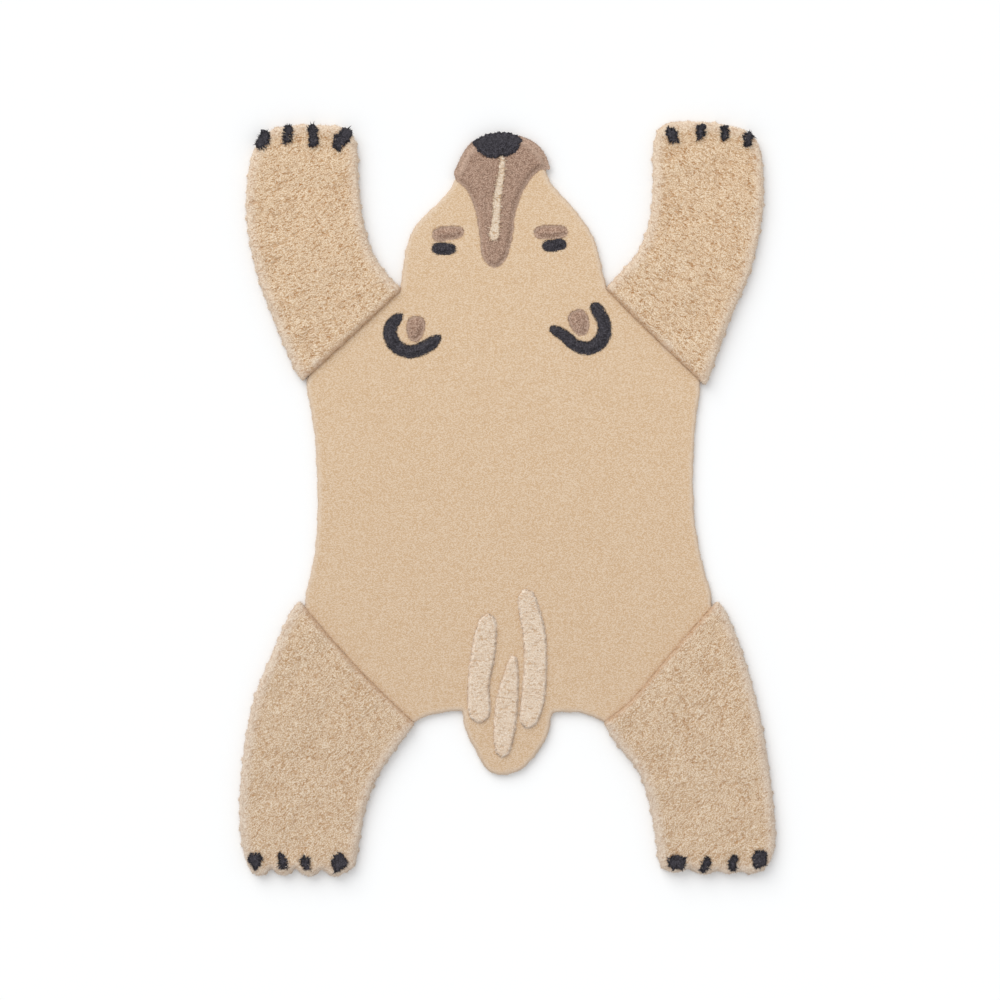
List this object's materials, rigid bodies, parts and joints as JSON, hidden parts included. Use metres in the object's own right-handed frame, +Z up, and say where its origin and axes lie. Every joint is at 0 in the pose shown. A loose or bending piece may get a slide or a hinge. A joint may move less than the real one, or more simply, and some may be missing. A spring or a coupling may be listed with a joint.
{
  "type": "bear shaped kids rug",
  "caption": "Flat tufted wool rug in the outline of a bear lying face down, with a short pile body, higher shag legs, and raised muzzle, ears and claws.",
  "frame": {"origin": "middle of the rug's overall outline, on the floor that it lies on", "axes": "+Y from the tail to the nose, +X to the right of the view from above with the nose up, +Z up out of the pile"},
  "size_m": [1.0005, 1.4051, 0.0255],
  "materials": {
    "sand_pile": "short dense cut wool pile, sand, matt, on a woven canvas backing",
    "sand_shag": "higher woolly shag pile, sand, lumpy, matt, on a woven canvas backing",
    "taupe_pile": "cut wool pile, taupe brown, matt",
    "cream_pile": "cut wool pile, cream, matt",
    "ink_pile": "cut wool pile, blue black, matt"
  },
  "bodies": {
    "root": {"ground": "sand_pile", "muzzle": "taupe_pile", "nose": "ink_pile", "bridge_stripe": "cream_pile", "brow_left": "taupe_pile", "brow_right": "taupe_pile", "eye_left": "ink_pile", "eye_right": "ink_pile", "ear_rim_left": "ink_pile", "ear_rim_right": "ink_pile", "ear_inner_left": "taupe_pile", "ear_inner_right": "taupe_pile", "streak_left": "cream_pile", "streak_middle": "cream_pile", "streak_right": "cream_pile", "leg_fore_left": "sand_shag", "leg_fore_right": "sand_shag", "leg_hind_left": "sand_shag", "leg_hind_right": "sand_shag", "claw_fore_left_1": "ink_pile", "claw_fore_left_2": "ink_pile", "claw_fore_left_3": "ink_pile", "claw_fore_left_4": "ink_pile", "claw_fore_right_1": "ink_pile", "claw_fore_right_2": "ink_pile", "claw_fore_right_3": "ink_pile", "claw_fore_right_4": "ink_pile", "claw_hind_left_1": "ink_pile", "claw_hind_left_2": "ink_pile", "claw_hind_left_3": "ink_pile", "claw_hind_left_4": "ink_pile", "claw_hind_right_1": "ink_pile", "claw_hind_right_2": "ink_pile", "claw_hind_right_3": "ink_pile", "claw_hind_right_4": "ink_pile"}
  },
  "joints": []
}
